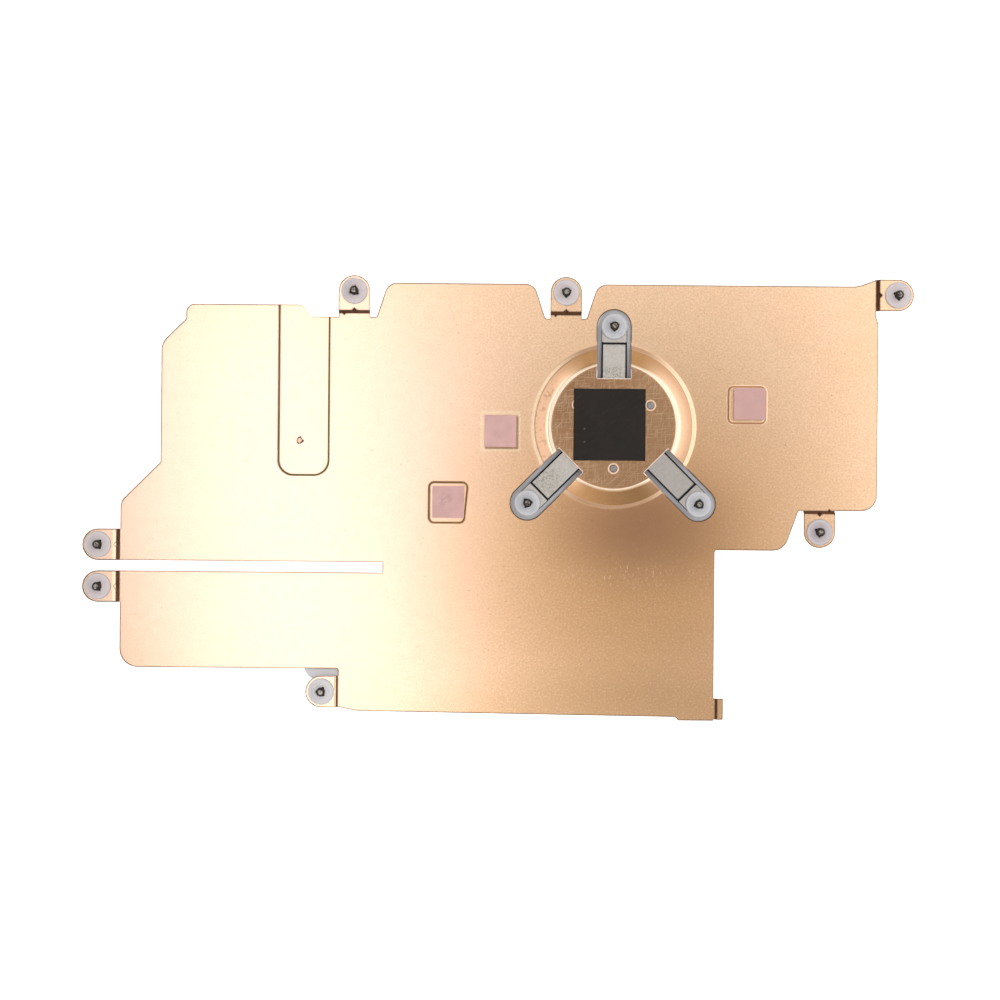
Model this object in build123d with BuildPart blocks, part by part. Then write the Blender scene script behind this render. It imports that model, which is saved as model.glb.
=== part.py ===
"""Passive heat spreader of a laptop processor, lying on its back with its board side up.

One copper sheet carries everything. A raised round boss meets the processor, and a steel leaf spring with
three arms is riveted behind it. Ten captive screws with nylon retaining washers fasten the spreader: seven
in joggled tabs of the sheet and three in the spring's arms. X runs along the sheet, Y across it, and Z
towards the circuit board.
"""
import math
import os

from build123d import *

os.makedirs("parts", exist_ok=True)

# Whole part, over the ends of the screw tabs
overall_length = 190.2
overall_depth = 101.6

# Copper sheet: thickness and forming
sheet_thickness = 0.4
wall_angle = 40

# Screw tabs, joggled towards the board
tab_width = 7.2
tab_reach = 8.5
foot_tab_reach = 7.4
tab_rise = 1.2
joggle_run = 0.6
tab_setback = 0.2
notch_tab_setback = 1.0
top_tab_left_x = -33.2
top_tab_right_x = 15.4
lower_tab_inset = 13.3
foot_tab_inset = 5.25
tab_hole_radius = 1.3

# Pressed darts that stiffen the tab bends
dart_half_width = 0.6
dart_depth = 0.32
groove_half_length = 0.8
gusset_depth = 0.24
gusset_half_length = 0.45
side_dart_offset = 2.4

# Corner radii of the outline
notch_corner_radius = 0.5
bevel_corner_radius = 0.9
step_corner_radius = 2.0
crest_corner_radius = 2.8
field_corner_radius = 3.6
left_corner_radius = 4.2
top_right_bend_radius = 6.0
foot_bevel_radius = 8.0

# Outline of the sheet from left to right
upper_left_inset = 9.1
top_left_inset = 14.7
left_notch_x = -44.85
left_step_x = -28.1
notch_width = 9.5
top_right_bend_inset = 4.2
foot_left_x = -36.3
foot_bevel_width = 4.3
foot_toe_width = 8.0
lower_right_x = 50.0
ledge_inset = 18.0
ledge_slope_run = 3.3
right_edge_step = 0.6

# Outline of the sheet from top to bottom
top_edge_inset = 1.55
top_left_drop = 5.2
right_step_gap = 1.1
right_step_height = 1.9
left_bevel_drop = 3.45
left_bevel_height = 5.5
left_shoulder_y = -1.45
right_field_bottom_y = -2.35
ledge_height = 9.25
foot_tab_gap = 1.6
foot_bottom_rise = 0.8
foot_toe_drop = 0.8
steep_run = 2.6
notch_step = 1.45

# Slot between the two left tabs
slot_y = -16.2
slot_width = 2.4
slot_end_x = -26.3
slot_corner_radius = 0.3

# Short joggled lip at the foot
lip_inset = 1.9
lip_length = 4.8
lip_reach = 2.15
lip_rise = 0.5
lip_run = 0.45
lip_setback = 0.45

# Round boss that meets the processor
boss_x = 26.5
boss_y = 16.65
boss_rise = 1.2
boss_flat_radius = 14.2
boss_shoulder_width = 0.8
boss_step_height = 0.45
boss_foot_width = 0.85
boss_foot_radius = 18.95
boss_rim_width = 1.5

# U-shaped raised panel
panel_left_x = -50.4
panel_right_x = -38.9
panel_bottom_y = 4.9
panel_corner_radius = 3.6
panel_rise = 0.5

# Raised seats under two of the thermal pads
seat_rise = 0.5
seat_corner_radius = 1.4
left_seat_x = -11.5
left_seat_y = -1.15
left_seat_width = 8.9
left_seat_height = 9.7
left_seat_slant = 0.45
right_seat_x = 57.15
right_seat_y = 21.8
right_seat_width = 9.0
right_seat_height = 8.8

# Thermal pads and the processor patch
pad_size = 7.35
pad_thickness = 0.9
free_pad_x = 0.55
free_pad_y = 15.35
left_pad_shift_x = 0.2
left_pad_shift_y = 0.15
right_pad_shift_x = 0.55
right_pad_shift_y = 0.25
patch_size = 16.6
patch_thickness = 0.2
patch_shift_x = -0.95
patch_shift_y = 0.35

# Steel leaf spring behind the boss
spring_thickness = 0.5
hub_radius = 8.5
ear_radius = 2.0
arm_width = 5.85
arm_gap = 0.95
arm_step = 0.4
arm_step_run = 0.4
arm_joggle_setback = 3.6
arm_hole_radius = 1.3
top_arm_reach = 22.9
lower_arm_reach = 27.8
lower_arm_angle = 45
fork_offset = 1.9
top_cutout_start = 11.0
lower_cutout_start = 13.8

# Rivets through the boss and the hub
rivet_radius = 0.9
rivet_circle_radius = 9.7
rivet_angles = (30, 150, 270)
rivet_head_radius = 1.5
rivet_head_height = 0.4

# Captive screws and their retaining washers
thread_radius = 1.0
thread_length = 2.3
neck_radius = 0.75
neck_sides = 6
head_radius = 2.1
head_height = 0.95
washer_radius = 3.0
washer_thickness = 0.5
lobe_reach = 1.25
lobe_half_angle = 12
lobe_count = 3
tab_washer_turns = (80, 26, 37, 30, 55, 60, 63)
arm_washer_turns = (27, 10, 75)

# Feet, edges and tabs that follow from the sizes above
cut_height = overall_depth
left_edge_x = tab_reach - overall_length / 2
right_tab_edge_x = overall_length / 2 - tab_reach
right_edge_x = right_tab_edge_x + right_edge_step
upper_left_x = left_edge_x + upper_left_inset
top_left_corner_x = left_edge_x + top_left_inset
top_right_bend_x = right_tab_edge_x - top_right_bend_inset
middle_notch_left_x = top_tab_right_x - notch_width / 2
middle_notch_right_x = top_tab_right_x + notch_width / 2
ledge_slope_high_x = right_edge_x - ledge_inset
ledge_slope_low_x = ledge_slope_high_x - ledge_slope_run
foot_bevel_x = foot_left_x + foot_bevel_width
foot_toe_x = lower_right_x - foot_toe_width
top_edge_y = overall_depth / 2 - top_edge_inset
notch_floor_y = overall_depth / 2 - tab_reach - notch_tab_setback
top_left_edge_y = top_edge_y - top_left_drop
left_bevel_high_y = top_left_edge_y - left_bevel_drop
left_bevel_low_y = left_bevel_high_y - left_bevel_height
right_tab_y = (overall_depth - tab_width) / 2
right_step_high_y = right_tab_y - tab_width / 2 - right_step_gap
right_step_low_y = right_step_high_y - right_step_height
ledge_bottom_y = right_field_bottom_y - ledge_height
foot_bottom_y = foot_toe_drop - overall_depth / 2
foot_tab_y = foot_bottom_y + foot_tab_inset
foot_tab_low_y = foot_tab_y - tab_width / 2
left_field_bottom_y = foot_tab_y + tab_width / 2 + foot_tab_gap
lower_tab_x = right_edge_x - lower_tab_inset
lip_y = foot_bottom_y + lip_inset


def plan_plane(x, y, angle, height=0.0):
    """Plane seen from above, with its X along the given direction in degrees."""
    turn = math.radians(angle)
    return Plane(origin=(x, y, height), x_dir=(math.cos(turn), math.sin(turn), 0), z_dir=(0, 0, 1))


def side_plane(x, y, angle):
    """Upright plane along the given direction in degrees, with its Y pointing up."""
    turn = math.radians(angle)
    along = (math.cos(turn), math.sin(turn), 0)
    return Plane(origin=(x, y, 0), x_dir=along, z_dir=(math.sin(turn), -math.cos(turn), 0))


def step_along(x, y, angle, distance):
    """Point at a distance from (x, y) in the given direction in degrees."""
    turn = math.radians(angle)
    return x + distance * math.cos(turn), y + distance * math.sin(turn)


# Tabs as root point, direction, reach, flat stretch before the bend and whether the root has a dart
upper_left_tab_y = slot_y + (slot_width + tab_width) / 2
lower_left_tab_y = slot_y - (slot_width + tab_width) / 2
tabs = [
    (top_tab_left_x, notch_floor_y, 90, tab_reach + notch_tab_setback, notch_tab_setback, True),
    (top_tab_right_x, notch_floor_y, 90, tab_reach + notch_tab_setback, notch_tab_setback, True),
    (right_tab_edge_x, right_tab_y, 0, tab_reach, tab_setback, False),
    (lower_tab_x, right_field_bottom_y, -90, tab_reach, tab_setback, True),
    (left_edge_x, upper_left_tab_y, 180, tab_reach, tab_setback, False),
    (left_edge_x, lower_left_tab_y, 180, tab_reach, tab_setback, False),
    (foot_left_x, foot_tab_y, 180, foot_tab_reach, tab_setback, False),
]

# Spring arms as starting point, outward direction, reach to the screw and start of the cut-out
fork_y = boss_y + fork_offset
arms = [
    (boss_x, boss_y, 90, top_arm_reach, top_cutout_start),
    (boss_x, fork_y, 180 + lower_arm_angle, lower_arm_reach, lower_cutout_start),
    (boss_x, fork_y, -lower_arm_angle, lower_arm_reach, lower_cutout_start),
]
cutout_half_width = arm_width / 2 + arm_gap

# Corners of the outline, clockwise from the upper left, each with its radius
outline = [
    ((upper_left_x, left_bevel_low_y), left_corner_radius),
    ((top_left_corner_x, left_bevel_high_y), bevel_corner_radius),
    ((top_left_corner_x, top_left_edge_y), step_corner_radius),
    ((left_notch_x, top_left_edge_y), step_corner_radius),
    ((left_notch_x + notch_step, notch_floor_y), notch_corner_radius),
    ((left_step_x, notch_floor_y), notch_corner_radius),
    ((left_step_x + steep_run, top_edge_y), crest_corner_radius),
    ((middle_notch_left_x - steep_run, top_edge_y), crest_corner_radius),
    ((middle_notch_left_x, notch_floor_y), notch_corner_radius),
    ((middle_notch_right_x, notch_floor_y), notch_corner_radius),
    ((middle_notch_right_x + steep_run, top_edge_y), crest_corner_radius),
    ((top_right_bend_x, top_edge_y), top_right_bend_radius),
    ((right_tab_edge_x, right_tab_y + tab_width / 2), 0),
    ((right_tab_edge_x, right_step_high_y), bevel_corner_radius),
    ((right_edge_x, right_step_low_y), bevel_corner_radius),
    ((right_edge_x, right_field_bottom_y), field_corner_radius),
    ((ledge_slope_high_x, right_field_bottom_y), notch_corner_radius),
    ((ledge_slope_low_x, ledge_bottom_y), field_corner_radius),
    ((lower_right_x, ledge_bottom_y), notch_corner_radius),
    ((lower_right_x, foot_bottom_y - foot_toe_drop), 0),
    ((foot_toe_x, foot_bottom_y - foot_toe_drop), 0),
    ((foot_toe_x - foot_toe_drop, foot_bottom_y), 0),
    ((foot_bevel_x, foot_bottom_y + foot_bottom_rise), foot_bevel_radius),
    ((foot_left_x, foot_tab_low_y), 0),
    ((foot_left_x, left_field_bottom_y), notch_corner_radius),
    ((left_edge_x, left_field_bottom_y), left_corner_radius),
    ((left_edge_x, left_shoulder_y), crest_corner_radius),
    ((upper_left_x, left_shoulder_y + upper_left_x - left_edge_x), notch_corner_radius),
]

# Sheet levels and the feet of the pressed walls
middle = sheet_thickness / 2
seat_top = sheet_thickness + tab_rise
boss_underside = boss_rise
boss_top = boss_rise + sheet_thickness
boss_rim_radius = boss_foot_radius + boss_rim_width
wall_lean = math.radians(wall_angle)
pocket_inset = sheet_thickness * (1 / math.cos(wall_lean) - math.tan(wall_lean))
wall_spread = panel_rise * math.tan(wall_lean) / 2
panel_over_y = top_edge_y + panel_corner_radius
u_panel = [
    (panel_left_x - wall_spread, panel_bottom_y - wall_spread),
    (panel_right_x + wall_spread, panel_bottom_y - wall_spread),
    (panel_right_x + wall_spread, panel_over_y),
    (panel_left_x - wall_spread, panel_over_y),
]


def seat_corners(x, y, width, height, slant):
    """Corners of a pad seat whose right wall leans by the slant."""
    return [
        (x - width / 2, y - height / 2),
        (x + width / 2 - slant, y - height / 2),
        (x + width / 2 + slant, y + height / 2),
        (x - width / 2, y + height / 2),
    ]


left_seat = seat_corners(left_seat_x, left_seat_y, left_seat_width, left_seat_height, left_seat_slant)
right_seat = seat_corners(right_seat_x, right_seat_y, right_seat_width, right_seat_height, 0)
pressed_panels = [
    (u_panel, panel_corner_radius, panel_rise),
    (left_seat, seat_corner_radius, seat_rise),
    (right_seat, seat_corner_radius, seat_rise),
]


def panel_face(corners, radius, height, inset=0.0):
    """Rounded outline of a pressed panel at the given height, made smaller all round by the inset."""
    with BuildSketch(Plane.XY.offset(height)) as panel:
        with BuildLine():
            FilletPolyline(*corners, radius=radius, close=True)
        make_face()
        offset(amount=-inset)
    return panel.sketch


def cut_hole(x, y, radius):
    """Cut a round hole through everything at (x, y)."""
    with Locations((x, y, 0)):
        Cylinder(radius, cut_height, mode=Mode.SUBTRACT)


def joggled_strip(x, y, angle, thickness, width, stations):
    """Add a joggled strip of sheet along the (distance, height) stations of its middle line."""
    with BuildSketch(side_plane(x, y, angle)) as section:
        with BuildLine():
            Polyline(*stations)
        trace(line_width=thickness)
    extrude(section.sketch, amount=width / 2, both=True)


def round_end(x, y, angle, distance, width):
    """Cut the end of a strip to a full round about the point at the given distance."""
    end_x, end_y = step_along(x, y, angle, distance)
    with BuildSketch(plan_plane(end_x, end_y, angle)) as corners:
        Rectangle(width, width, align=(Align.MIN, Align.CENTER))
        Circle(width / 2, mode=Mode.SUBTRACT)
    extrude(corners.sketch, amount=cut_height, mode=Mode.SUBTRACT)


def pressed_dart(x, y, angle, distance, height, side, facing):
    """Press a small dart across a tab bend: a groove in its outer side and a gusset in its inner side."""
    lean = math.atan2(tab_rise, joggle_run) / 2
    turn = math.radians(angle)
    across = (-math.sin(turn), math.cos(turn), 0)
    along = (math.cos(lean) * math.cos(turn), math.cos(lean) * math.sin(turn), math.sin(lean))
    dart_x, dart_y = step_along(x, y, angle, distance)
    origin = (dart_x + side * across[0], dart_y + side * across[1], height)
    plane = Plane(origin=origin, x_dir=across, z_dir=tuple(facing * value for value in along))
    skin = middle / math.cos(lean)
    with BuildSketch(plane) as gusset:
        Polygon(
            (0, -skin - gusset_depth),
            (dart_half_width, -middle / 2),
            (-dart_half_width, -middle / 2),
            align=None,
        )
    extrude(gusset.sketch, amount=gusset_half_length, both=True)
    with BuildSketch(plane) as groove:
        Polygon(
            (0, skin - dart_depth),
            (2 * dart_half_width, skin + dart_depth),
            (-2 * dart_half_width, skin + dart_depth),
            align=None,
        )
    extrude(groove.sketch, amount=groove_half_length, both=True, mode=Mode.SUBTRACT)


with BuildPart() as spreader_plate:
    # Flat sheet
    with BuildSketch() as sheet_outline:
        with BuildLine():
            FilletPolyline(
                *[corner for corner, radius in outline],
                radius=[radius for corner, radius in outline],
                close=True,
            )
        make_face()
    extrude(amount=sheet_thickness)

    # Pressed panels, the open one trimmed to the outline, all hollow behind
    for corners, radius, rise in pressed_panels:
        extrude(panel_face(corners, radius, sheet_thickness), amount=rise, taper=wall_angle)
    extrude(sheet_outline.sketch, amount=cut_height, mode=Mode.INTERSECT)
    for corners, radius, rise in pressed_panels:
        pocket = panel_face(corners, radius, 0, pocket_inset)
        extrude(pocket, amount=rise, taper=wall_angle, mode=Mode.SUBTRACT)

    # Round boss in two steps, revolved from the middle line of the sheet
    cut_hole(boss_x, boss_y, boss_rim_radius)
    with BuildSketch(side_plane(boss_x, boss_y, 0)):
        with BuildLine():
            Polyline(
                (0, middle + boss_rise),
                (boss_flat_radius, middle + boss_rise),
                (boss_flat_radius + boss_shoulder_width, middle + boss_rise - boss_step_height),
                (boss_foot_radius - boss_foot_width, middle + boss_step_height),
                (boss_foot_radius, middle),
                (boss_rim_radius, middle),
            )
        trace(line_width=sheet_thickness)
        with Locations((0, middle + boss_rise)):
            Rectangle(sheet_thickness, sheet_thickness, align=(Align.MAX, Align.CENTER), mode=Mode.SUBTRACT)
    revolve(axis=Axis((boss_x, boss_y, 0), (0, 0, 1)))

    # Cut-outs that let the spring arms through
    for x, y, angle, reach, start in arms:
        with BuildSketch(plan_plane(x, y, angle)):
            with Locations((start, 0)):
                Rectangle(reach - start, 2 * cutout_half_width, align=(Align.MIN, Align.CENTER))
            with Locations((reach, 0)):
                Circle(cutout_half_width)
        extrude(amount=cut_height, mode=Mode.SUBTRACT)

    # Screw tabs
    for x, y, angle, reach, setback, root_dart in tabs:
        stations = [
            (-tab_setback, middle),
            (setback, middle),
            (setback + joggle_run, middle + tab_rise),
            (reach, middle + tab_rise),
        ]
        joggled_strip(x, y, angle, sheet_thickness, tab_width, stations)
        round_end(x, y, angle, reach - tab_width / 2, tab_width)
        cut_hole(*step_along(x, y, angle, reach - tab_width / 2), tab_hole_radius)
        pressed_dart(x, y, angle, setback + joggle_run, middle + tab_rise, 0, 1)
        if root_dart:
            pressed_dart(x, y, angle, setback, middle, side_dart_offset, -1)

    # Joggled lip
    stations = [
        (-lip_setback, middle),
        (lip_setback, middle),
        (lip_setback + lip_run, middle + lip_rise),
        (lip_reach, middle + lip_rise),
    ]
    joggled_strip(lower_right_x, lip_y, 0, sheet_thickness, lip_length, stations)

    # Slot between the two left tabs
    with BuildSketch() as slot:
        with Locations((slot_end_x, slot_y)):
            Rectangle(slot_end_x - left_edge_x + slot_width, slot_width, align=(Align.MAX, Align.CENTER))
        fillet(slot.vertices().group_by(Axis.X)[-1], radius=slot_corner_radius)
    extrude(amount=sheet_thickness, mode=Mode.SUBTRACT)

    # Rivet holes
    for angle in rivet_angles:
        cut_hole(*step_along(boss_x, boss_y, angle, rivet_circle_radius), rivet_radius)

spreader_plate.part.label = "spreader_plate"
export_step(spreader_plate.part, "parts/spreader_plate.step")

# Leaf spring: hub with three ears behind the boss, and three arms that step up to the screw seats
hub_level = boss_underside - spring_thickness
with BuildPart() as tripod_spring:
    with BuildSketch(Plane.XY.offset(hub_level)):
        with Locations((boss_x, boss_y)):
            Circle(hub_radius)
            with PolarLocations(rivet_circle_radius, len(rivet_angles), start_angle=rivet_angles[0]):
                Circle(ear_radius)
        for x, y, angle, reach, start in arms:
            length = reach - arm_joggle_setback - 2 * arm_step_run
            with Locations(plan_plane(x, y, angle)):
                Rectangle(length, arm_width, align=(Align.MIN, Align.CENTER))
    extrude(amount=spring_thickness)
    for x, y, angle, reach, start in arms:
        step_start = reach - arm_joggle_setback - arm_step_run
        leaf_middle = hub_level + spring_thickness / 2
        stations = [
            (step_start - 2 * arm_step_run, leaf_middle),
            (step_start, leaf_middle),
            (step_start + arm_step_run, leaf_middle + arm_step),
            (reach + arm_width / 2, leaf_middle + arm_step),
        ]
        joggled_strip(x, y, angle, spring_thickness, arm_width, stations)
        round_end(x, y, angle, reach, arm_width)
        cut_hole(*step_along(x, y, angle, reach), arm_hole_radius)
    for angle in rivet_angles:
        cut_hole(*step_along(boss_x, boss_y, angle, rivet_circle_radius), rivet_radius)

tripod_spring.part.label = "tripod_spring"
export_step(tripod_spring.part, "parts/tripod_spring.step")

# Rivets: flush with the boss, flat head under the hub
for number, angle in enumerate(rivet_angles, start=1):
    with BuildPart() as rivet:
        x, y = step_along(boss_x, boss_y, angle, rivet_circle_radius)
        with Locations((x, y, hub_level)):
            Cylinder(rivet_radius, boss_top - hub_level, align=(Align.CENTER, Align.CENTER, Align.MIN))
            Cylinder(rivet_head_radius, rivet_head_height, align=(Align.CENTER, Align.CENTER, Align.MAX))
    rivet.part.label = f"rivet_{number}"
    export_step(rivet.part, f"parts/rivet_{number}.step")

# Screws and washers: position, underside of the seat and turn of the washer
spots = []
for (x, y, angle, reach, setback, root_dart), turn in zip(tabs, tab_washer_turns):
    spots.append((step_along(x, y, angle, reach - tab_width / 2), tab_rise, turn))
for (x, y, angle, reach, start), turn in zip(arms, arm_washer_turns):
    spots.append((step_along(x, y, angle, reach), hub_level + arm_step, turn))
washer_top = seat_top + washer_thickness
lobe_corners = [
    step_along(0, 0, lobe * 360 / lobe_count + side * lobe_half_angle, lobe_reach)
    for lobe in range(lobe_count)
    for side in (-1, 1)
]

for number, ((x, y), underside, turn) in enumerate(spots, start=1):
    with BuildPart() as screw:
        with Locations((x, y, underside)):
            Cylinder(head_radius, head_height, align=(Align.CENTER, Align.CENTER, Align.MAX))
        with BuildSketch(plan_plane(x, y, turn, underside)):
            RegularPolygon(neck_radius, neck_sides)
        extrude(amount=washer_top - underside)
        with Locations((x, y, washer_top)):
            Cylinder(thread_radius, thread_length, align=(Align.CENTER, Align.CENTER, Align.MIN))
    screw.part.label = f"captive_screw_{number}"
    export_step(screw.part, f"parts/captive_screw_{number}.step")

    with BuildPart() as washer:
        with BuildSketch(plan_plane(x, y, turn, seat_top)):
            Circle(washer_radius)
            Polygon(*lobe_corners, align=None, mode=Mode.SUBTRACT)
        extrude(amount=washer_thickness)
    washer.part.label = f"retaining_washer_{number}"
    export_step(washer.part, f"parts/retaining_washer_{number}.step")

# Contact patch on the boss
with BuildPart() as thermal_patch:
    with BuildSketch(Plane((boss_x + patch_shift_x, boss_y + patch_shift_y, boss_top))):
        Rectangle(patch_size, patch_size)
    extrude(amount=patch_thickness)

thermal_patch.part.label = "thermal_patch"
export_step(thermal_patch.part, "parts/thermal_patch.step")

# Thermal pads, the first one on the flat sheet and the others on their seats
pads = [
    (free_pad_x, free_pad_y, sheet_thickness),
    (left_seat_x + left_pad_shift_x, left_seat_y + left_pad_shift_y, sheet_thickness + seat_rise),
    (right_seat_x + right_pad_shift_x, right_seat_y + right_pad_shift_y, sheet_thickness + seat_rise),
]
for number, (x, y, level) in enumerate(pads, start=1):
    with BuildPart() as pad:
        with BuildSketch(Plane((x, y, level))):
            Rectangle(pad_size, pad_size)
        extrude(amount=pad_thickness)
    pad.part.label = f"thermal_pad_{number}"
    export_step(pad.part, f"parts/thermal_pad_{number}.step")
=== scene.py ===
import math

import bmesh
import bpy
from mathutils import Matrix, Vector, noise


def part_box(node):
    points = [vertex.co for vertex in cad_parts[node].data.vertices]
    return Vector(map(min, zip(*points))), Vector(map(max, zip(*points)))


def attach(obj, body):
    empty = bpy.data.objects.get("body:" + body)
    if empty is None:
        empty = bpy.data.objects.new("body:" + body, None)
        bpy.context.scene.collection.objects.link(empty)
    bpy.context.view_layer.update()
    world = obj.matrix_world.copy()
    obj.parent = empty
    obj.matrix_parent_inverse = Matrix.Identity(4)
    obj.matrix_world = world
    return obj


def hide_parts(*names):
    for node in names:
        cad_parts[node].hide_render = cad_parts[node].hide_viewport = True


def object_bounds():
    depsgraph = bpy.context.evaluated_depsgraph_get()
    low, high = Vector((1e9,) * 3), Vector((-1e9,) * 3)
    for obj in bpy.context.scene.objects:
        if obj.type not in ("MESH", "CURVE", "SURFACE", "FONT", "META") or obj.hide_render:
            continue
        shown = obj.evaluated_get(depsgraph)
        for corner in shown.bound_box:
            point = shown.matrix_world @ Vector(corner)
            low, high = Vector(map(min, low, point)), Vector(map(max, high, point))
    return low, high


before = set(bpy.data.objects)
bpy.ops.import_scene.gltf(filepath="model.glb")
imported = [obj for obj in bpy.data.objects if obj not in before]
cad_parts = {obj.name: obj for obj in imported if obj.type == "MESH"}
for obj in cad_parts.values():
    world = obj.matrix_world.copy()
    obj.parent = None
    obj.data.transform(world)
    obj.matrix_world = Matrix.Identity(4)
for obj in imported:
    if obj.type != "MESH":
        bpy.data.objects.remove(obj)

cad_box = [list(corner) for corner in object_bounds()]

MM = 0.001

# Captive screws
head_height = 0.95 * MM
head_radius = 2.1 * MM
head_rounding = 0.22 * MM
head_edge = 0.05 * MM
recess_length = 2.3 * MM
recess_width = 0.45 * MM
recess_depth = 0.55 * MM
shank_radius = 0.75 * MM
shank_taper = 0.12 * MM
thread_radius = 1.0 * MM
thread_core_radius = 0.84 * MM
thread_pitch = 0.4 * MM
tip_chamfer = 0.35 * MM
tip_radius = 0.48 * MM
# Height above which the screw tips get a painted highlight
tip_highlight_height = 4.31 * MM
tab_screw_turns = (15, 40, 100, 160, 200, 65, 300)
arm_screw_turns = (20, 140, 260)

# Rivets and the copper lips round them
rivet_radius = 0.88 * MM
rivet_head_radius = 1.5 * MM
lip_inner_radius = 0.93 * MM
lip_outer_radius = 1.28 * MM
lip_height = 0.10 * MM
lip_root = 0.10 * MM
lip_crest = 0.07 * MM

# Retaining washers
washer_hole_radius = 0.84 * MM
washer_chamfer = 0.10 * MM
hole_chamfer = 0.08 * MM
rim_chamfer = 0.12 * MM
rim_drop = 0.05 * MM
rim_shoulder = 0.04 * MM
rim_width = 0.62 * MM
lobe_depth = 0.40 * MM
lobe_middle = 0.50 * MM
lobe_reach = 0.80 * MM
lobe_count = 3.0
lobe_sharpness = 1.4
tab_washer_turns = (80, 26, 37, 30, 55, 60, 63)
arm_washer_turns = (27, 10, 75)

# Small random turn of each screw, washer and rivet
stray_turn = 0.04
stray_turn_seed = 7

# Arms of the spring
arm_directions = (90, 225, -45)
arm_half_width = 2.925 * MM
arm_step_back = 3.6 * MM
arm_root_back = 17 * MM

# Boss of the sheet
boss_x = 26.5 * MM
boss_y = 16.65 * MM
boss_flat_radius = 14.2 * MM
boss_ring_inner = 15.05 * MM
boss_ring_outer = 18.0 * MM
boss_foot_radius = 19.1 * MM
boss_draw = 0.75 * MM
arm_screw_circle = 29.6 * MM

# Pad that lies on the flat sheet
plain_low, plain_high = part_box("thermal_pad_1")
plain_pad_x = (plain_low.x + plain_high.x) / 2
plain_pad_y = (plain_low.y + plain_high.y) / 2
pad_shade_shift = 0.3 * MM

# Pressed mark on the U-shaped panel
mark_x = -45.6 * MM
mark_y = 12.75 * MM
mark_radius = 1.15 * MM
mark_unevenness = 1.4 * MM

# Painted highlights: bright strips beside the bends of the left tabs and the foot tab
left_tabs_x = -86.5 * MM
left_strip_x = (-88.15 * MM, -87.42 * MM)
foot_strip_x = (-37.5 * MM, -36.72 * MM)
foot_strip_y = (-48.2 * MM, -41.2 * MM)
strip_softness = 0.05 * MM

# Regions seen from above: middle and reach in millimetres, and the share of the reach at full strength
# Painted highlight on the sheet's left and painted shade on its right
pale_highlight_left = (-50, 0), (80, 90), 0.3
shaded_right = (33, -14), (62, 60), 0.1
# Darker copper in a field below and right of the boss
dark_field_below_boss = (33, -6), (32, 21), 0.05
# Painted shade along the sheet's lower edge
shaded_lower_edge = (30, -52), (60, 17), 0.3
# Painted shade on part of the boss's disc, and painted shading on the left of its ring
shaded_disc = (12, 30), (24, 24), 0.3
left_of_ring = (9, 17), (8, 18), 0.5
below_boss = (30, -17.5), (26, 4.5), 0.2
# Regions where the painted bend shades and painted edge lines take other colours
left_seat_region = (-11.5, -1), (9, 9), 0.8
right_seat_region = (57, 22), (9, 9), 0.8
panel_region = (-44.5, 25), (9, 29), 0.85
handled_arm = (11.5, 4.5), (5, 5), 0.2
top_arm_root = (26.5, 29), (5, 2.5), 0.2
shaded_arm = (40, 6), (10, 10), 0.5
# Painted highlight on one washer and painted shade on another
highlighted_washer = (-40.8, -44.6), (5, 5), 0.8
shaded_washer = (74, -7.8), (5, 5), 0.8
shaded_pad = (58, 22), (9, 9), 0.8
rubbed_spot = (-11.7, -0.8), (3.2, 2.2), 0.1
notch_shade = (-38.5, -39.5), (5.8, 3.4), 0.92
arm_shades = (((26.8, 32), (6, 15), 0.8), ((10.5, 2.5), (13, 12), 0.8), ((42.5, 2.5), (13, 12), 0.8))

# Colours of the copper sheet
light_copper = (0.95, 0.655, 0.435, 1)
deep_copper = (0.94, 0.635, 0.41, 1)
# Painted highlight on the left of the sheet and painted shade on its right
pale_highlight_copper = (0.95, 0.665, 0.515, 1)
shaded_right_copper = (0.83, 0.48, 0.236, 1)
# Darker copper of the field below the boss
dark_field_copper = (0.485, 0.255, 0.134, 1)
# Painted shade along the lower edge
shaded_lower_copper = (0.62, 0.36, 0.17, 1)
# Painted light and shade on the boss: its darker disc, its ring, shoulder, foot and hairlines; the ring's dark specks
# are its own
disc_shade_copper = (0.475, 0.265, 0.138, 1)
shaded_disc_copper = (0.365, 0.193, 0.098, 1)
inner_ring_lit_copper = (0.88, 0.585, 0.385, 1)
outer_ring_shaded_copper = (0.61, 0.355, 0.22, 1)
left_ring_shade_copper = (0.54, 0.335, 0.22, 1)
ring_speck_copper = (0.22, 0.11, 0.06, 1)
front_ring_shade_copper = (0.38, 0.205, 0.085, 1)
shoulder_highlight_copper = (1.0, 0.82, 0.62, 1)
side_foot_highlight_copper = (0.97, 0.70, 0.47, 1)
front_foot_shade_copper = (0.47, 0.28, 0.165, 1)
hairline_shade_copper = (0.30, 0.15, 0.07, 1)
# Painted highlights for the frame round the plain pad and for glints in the grain, and the painted shadow of that pad
glinting_copper = (1.0, 0.80, 0.58, 1)
pad_shade_copper = (0.26, 0.14, 0.08, 1)
mottled_copper = (0.62, 0.36, 0.19, 1)
grain_copper = (0.52, 0.29, 0.15, 1)
pitted_copper = (0.30, 0.15, 0.08, 1)
scratched_copper = (0.95, 0.70, 0.48, 1)
# Painted shade in the pressed mark's floor and along its rim
mark_floor_shade_copper = (0.50, 0.34, 0.25, 1)
mark_rim_shade_copper = (0.07, 0.03, 0.015, 1)
# Painted shade in the bends, lighter at the pressed seats and the panel
bend_shade_copper = (0.045, 0.017, 0.007, 1)
left_seat_bend_shade_copper = (0.17, 0.10, 0.04, 1)
panel_bend_shade_copper = (0.115, 0.086, 0.036, 1)
right_seat_bend_shade_copper = (0.42, 0.21, 0.10, 1)
# Painted highlight strips beside the tab bends
strip_highlight_copper = (1.0, 0.88, 0.62, 1)
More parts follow.
